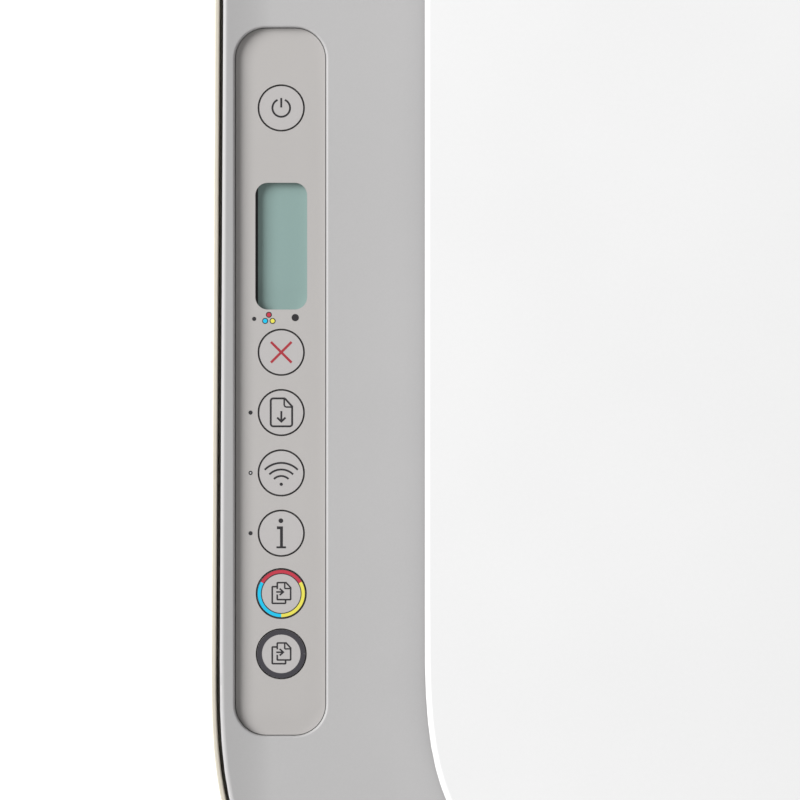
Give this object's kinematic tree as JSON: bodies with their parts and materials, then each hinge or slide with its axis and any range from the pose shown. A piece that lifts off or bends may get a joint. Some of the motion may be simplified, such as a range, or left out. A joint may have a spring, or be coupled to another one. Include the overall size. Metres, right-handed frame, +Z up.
{
  "type": "inkjet printer",
  "caption": "Desktop all-in-one inkjet printer: flatbed scanner lid, recessed key strip with display, front cartridge door and sliding trays",
  "frame": {"origin": "on the table under the middle of the body", "axes": "+X to the printer's right, +Y to its rear, +Z up"},
  "size_m": [0.425, 0.304, 0.154],
  "materials": {
    "base_chassis": "fine-textured grey-black moulding",
    "rubber_feet": "soft matt rubber",
    "housing_screws": "zinc-plated steel",
    "left_side_cover": "warm white satin moulding",
    "right_side_cover": "warm white satin moulding",
    "rear_cover": "warm white satin moulding",
    "front_bezel": "warm white satin moulding",
    "cartridge_door": "warm white satin moulding",
    "scanner_deck": "light grey fine-textured moulding",
    "scanner_pan": "dark grey moulding",
    "scanner_glass": "clear float glass",
    "scan_guide_rod": "ground steel",
    "scan_head": "black moulding",
    "scan_belt": "black belt rubber",
    "scan_drive_pulley": "natural acetal",
    "scan_motor": "plated steel can",
    "scanner_lid": "white satin moulding",
    "lid_pad": "white foam with a smooth sheet",
    "control_panel": "warm light grey printed sheet",
    "display_module": "grey-green reflective display",
    "panel_board": "green circuit board",
    "engine_frame": "zinc-plated sheet steel",
    "feed_roller": "grit-coated dark roller",
    "eject_roller": "black rubber sleeves",
    "pick_roller": "black ribbed rubber",
    "pinch_rollers": "natural acetal on steel",
    "star_wheels": "stainless spiked wheels",
    "star_wheel_holder": "black moulding",
    "pinch_arms": "black moulding",
    "platen": "black moulding",
    "carriage_rod": "polished steel",
    "carriage": "charcoal moulding",
    "black_cartridge": "black glossy moulding",
    "colour_cartridge": "grey glossy moulding",
    "carriage_belt": "black belt rubber",
    "carriage_drive_pulley": "turned aluminium",
    "carriage_motor": "plated steel can",
    "feed_motor": "plated steel can",
    "motor_pinion": "turned brass",
    "front_idler_gear": "natural acetal",
    "rear_idler_gear": "natural acetal",
    "cap_sled": "black moulding with soft caps",
    "sheet_ramp": "charcoal moulding",
    "paper_support": "grey moulding",
    "paper_support_extension": "grey moulding",
    "left_paper_guide": "grey moulding",
    "right_paper_guide": "grey moulding",
    "slot_cover": "light grey fine-textured moulding",
    "output_tray": "warm white satin moulding",
    "output_extension": "warm white satin moulding",
    "paper_stop": "warm white satin moulding",
    "power_supply": "black moulding",
    "main_board": "green circuit board",
    "power_key": "light grey moulded key",
    "cancel_key": "light grey moulded key",
    "resume_key": "light grey moulded key",
    "wireless_key": "light grey moulded key",
    "information_key": "light grey moulded key",
    "colour_copy_key": "light grey moulded key",
    "black_copy_key": "light grey moulded key"
  },
  "bodies": {
    "housing": {"base_chassis": "base_chassis", "rubber_feet": "rubber_feet", "housing_screws": "housing_screws", "left_side_cover": "left_side_cover", "right_side_cover": "right_side_cover", "rear_cover": "rear_cover", "front_bezel": "front_bezel", "scanner_deck": "scanner_deck", "scanner_pan": "scanner_pan", "scanner_glass": "scanner_glass", "scan_guide_rod": "scan_guide_rod", "scan_belt": "scan_belt", "scan_motor": "scan_motor", "control_panel": "control_panel", "display_module": "display_module", "panel_board": "panel_board", "engine_frame": "engine_frame", "star_wheel_holder": "star_wheel_holder", "pinch_arms": "pinch_arms", "platen": "platen", "carriage_rod": "carriage_rod", "carriage_belt": "carriage_belt", "carriage_motor": "carriage_motor", "feed_motor": "feed_motor", "sheet_ramp": "sheet_ramp", "power_supply": "power_supply", "main_board": "main_board"},
    "lid": {"scanner_lid": "scanner_lid", "lid_pad": "lid_pad"},
    "scan_head": {"scan_head": "scan_head"},
    "scan_drive_pulley": {"scan_drive_pulley": "scan_drive_pulley"},
    "carriage": {"carriage": "carriage"},
    "carriage_drive_pulley": {"carriage_drive_pulley": "carriage_drive_pulley"},
    "black_cartridge": {"black_cartridge": "black_cartridge"},
    "colour_cartridge": {"colour_cartridge": "colour_cartridge"},
    "feed_roller": {"feed_roller": "feed_roller"},
    "front_idler_gear": {"front_idler_gear": "front_idler_gear"},
    "eject_roller": {"eject_roller": "eject_roller"},
    "rear_idler_gear": {"rear_idler_gear": "rear_idler_gear"},
    "pick_roller": {"pick_roller": "pick_roller"},
    "motor_pinion": {"motor_pinion": "motor_pinion"},
    "pinch_rollers": {"pinch_rollers": "pinch_rollers"},
    "star_wheels": {"star_wheels": "star_wheels"},
    "cap_sled": {"cap_sled": "cap_sled"},
    "paper_support": {"paper_support": "paper_support"},
    "paper_support_extension": {"paper_support_extension": "paper_support_extension"},
    "left_paper_guide": {"left_paper_guide": "left_paper_guide"},
    "right_paper_guide": {"right_paper_guide": "right_paper_guide"},
    "slot_cover": {"slot_cover": "slot_cover"},
    "cartridge_door": {"cartridge_door": "cartridge_door"},
    "output_tray": {"output_tray": "output_tray"},
    "output_extension": {"output_extension": "output_extension"},
    "paper_stop": {"paper_stop": "paper_stop"},
    "power_key": {"power_key": "power_key"},
    "cancel_key": {"cancel_key": "cancel_key"},
    "resume_key": {"resume_key": "resume_key"},
    "wireless_key": {"wireless_key": "wireless_key"},
    "information_key": {"information_key": "information_key"},
    "colour_copy_key": {"colour_copy_key": "colour_copy_key"},
    "black_copy_key": {"black_copy_key": "black_copy_key"}
  },
  "joints": [
    {"name": "lid_hinge", "type": "hinge", "parent": "housing", "child": "lid", "pos_m": [0, 0.1075, 0.1445], "axis": [-1, 0, 0], "range_deg": [0, 80]},
    {"name": "scan_head_slide", "type": "slide", "parent": "housing", "child": "scan_head", "axis": [1, 0, 0], "range_m": [0, 0.29]},
    {"name": "scan_pulley_turn", "type": "hinge", "parent": "housing", "child": "scan_drive_pulley", "pos_m": [0.184, 0.016, 0.117], "axis": [0, 0, 1], "range_deg": [0, 3400]},
    {"name": "carriage_slide", "type": "slide", "parent": "housing", "child": "carriage", "axis": [-1, 0, 0], "range_m": [0, 0.268]},
    {"name": "carriage_pulley_turn", "type": "hinge", "parent": "housing", "child": "carriage_drive_pulley", "pos_m": [-0.153, 0.043, 0.09], "axis": [0, 0, -1], "range_deg": [0, 3200]},
    {"name": "black_cartridge_slide", "type": "slide", "parent": "carriage", "child": "black_cartridge", "axis": [0, -0.866, 0.5], "range_m": [0, 0.038]},
    {"name": "colour_cartridge_slide", "type": "slide", "parent": "carriage", "child": "colour_cartridge", "axis": [0, -0.866, 0.5], "range_m": [0, 0.038]},
    {"name": "feed_roller_turn", "type": "hinge", "parent": "housing", "child": "feed_roller", "pos_m": [0, 0.024, 0.042], "axis": [1, 0, 0], "continuous": true},
    {"name": "front_idler_turn", "type": "hinge", "parent": "housing", "child": "front_idler_gear", "pos_m": [0, -0.008, 0.042], "axis": [1, 0, 0], "continuous": true},
    {"name": "eject_roller_turn", "type": "hinge", "parent": "housing", "child": "eject_roller", "pos_m": [0, -0.04, 0.042], "axis": [1, 0, 0], "continuous": true},
    {"name": "rear_idler_turn", "type": "hinge", "parent": "housing", "child": "rear_idler_gear", "pos_m": [0, 0.05491, 0.05028], "axis": [1, 0, 0], "continuous": true},
    {"name": "pick_roller_turn", "type": "hinge", "parent": "housing", "child": "pick_roller", "pos_m": [0, 0.08582, 0.05856], "axis": [1, 0, 0], "continuous": true},
    {"name": "motor_pinion_turn", "type": "hinge", "parent": "housing", "child": "motor_pinion", "pos_m": [0, 0.024, 0.064], "axis": [1, 0, 0], "continuous": true},
    {"name": "pinch_rollers_turn", "type": "hinge", "parent": "housing", "child": "pinch_rollers", "pos_m": [0, 0.024, 0.0513], "axis": [1, 0, 0], "continuous": true},
    {"name": "star_wheels_turn", "type": "hinge", "parent": "housing", "child": "star_wheels", "pos_m": [0, -0.04, 0.0513], "axis": [1, 0, 0], "continuous": true},
    {"name": "cap_sled_slide", "type": "slide", "parent": "housing", "child": "cap_sled", "axis": [0, 0, -1], "range_m": [0, 0.006]},
    {"name": "paper_support_slide", "type": "slide", "parent": "housing", "child": "paper_support", "axis": [0, 0.3746, 0.9272], "range_m": [0, 0.07]},
    {"name": "paper_support_extension_slide", "type": "slide", "parent": "paper_support", "child": "paper_support_extension", "axis": [0, 0.3746, 0.9272], "range_m": [0, 0.065]},
    {"name": "left_guide_slide", "type": "slide", "parent": "housing", "child": "left_paper_guide", "axis": [1, 0, 0], "range_m": [0, 0.052]},
    {"name": "right_guide_slide", "type": "slide", "parent": "housing", "child": "right_paper_guide", "axis": [-1, 0, 0], "range_m": [0, 0.052]},
    {"name": "slot_cover_hinge", "type": "hinge", "parent": "housing", "child": "slot_cover", "pos_m": [0, 0.1182, 0.1412], "axis": [1, 0, 0], "range_deg": [0, 75]},
    {"name": "cartridge_door_hinge", "type": "hinge", "parent": "housing", "child": "cartridge_door", "pos_m": [0, -0.14709, 0.063], "axis": [1, 0, 0], "range_deg": [0, 85]},
    {"name": "output_tray_slide", "type": "slide", "parent": "housing", "child": "output_tray", "axis": [0, -1, 0], "range_m": [0, 0.085]},
    {"name": "output_extension_slide", "type": "slide", "parent": "output_tray", "child": "output_extension", "axis": [0, -1, 0], "range_m": [0, 0.065]},
    {"name": "paper_stop_hinge", "type": "hinge", "parent": "output_extension", "child": "paper_stop", "pos_m": [0, -0.1435, 0.016], "axis": [1, 0, 0], "range_deg": [0, 90]},
    {"name": "power_key_press", "type": "slide", "parent": "housing", "child": "power_key", "axis": [0, 0, -1], "range_m": [0, 0.0006], "stiffness_N_per_m": 900, "springref_m": -0.0003},
    {"name": "cancel_key_press", "type": "slide", "parent": "housing", "child": "cancel_key", "axis": [0, 0, -1], "range_m": [0, 0.0006], "stiffness_N_per_m": 900, "springref_m": -0.0003},
    {"name": "resume_key_press", "type": "slide", "parent": "housing", "child": "resume_key", "axis": [0, 0, -1], "range_m": [0, 0.0006], "stiffness_N_per_m": 900, "springref_m": -0.0003},
    {"name": "wireless_key_press", "type": "slide", "parent": "housing", "child": "wireless_key", "axis": [0, 0, -1], "range_m": [0, 0.0006], "stiffness_N_per_m": 900, "springref_m": -0.0003},
    {"name": "information_key_press", "type": "slide", "parent": "housing", "child": "information_key", "axis": [0, 0, -1], "range_m": [0, 0.0006], "stiffness_N_per_m": 900, "springref_m": -0.0003},
    {"name": "colour_copy_key_press", "type": "slide", "parent": "housing", "child": "colour_copy_key", "axis": [0, 0, -1], "range_m": [0, 0.0006], "stiffness_N_per_m": 900, "springref_m": -0.0003},
    {"name": "black_copy_key_press", "type": "slide", "parent": "housing", "child": "black_copy_key", "axis": [0, 0, -1], "range_m": [0, 0.0006], "stiffness_N_per_m": 900, "springref_m": -0.0003}
  ],
  "couplings": [
    {"joint": "scan_pulley_turn", "follows": "scan_head_slide", "rad_per_m": 200},
    {"joint": "carriage_pulley_turn", "follows": "carriage_slide", "rad_per_m": 200},
    {"joint": "front_idler_turn", "follows": "feed_roller_turn", "ratio": -1},
    {"joint": "eject_roller_turn", "follows": "feed_roller_turn", "ratio": 1},
    {"joint": "rear_idler_turn", "follows": "feed_roller_turn", "ratio": -1},
    {"joint": "pick_roller_turn", "follows": "feed_roller_turn", "ratio": 1},
    {"joint": "motor_pinion_turn", "follows": "feed_roller_turn", "ratio": -2.6667},
    {"joint": "pinch_rollers_turn", "follows": "feed_roller_turn", "ratio": -2},
    {"joint": "star_wheels_turn", "follows": "feed_roller_turn", "ratio": -2},
    {"joint": "right_guide_slide", "follows": "left_guide_slide", "ratio": 1}
  ]
}
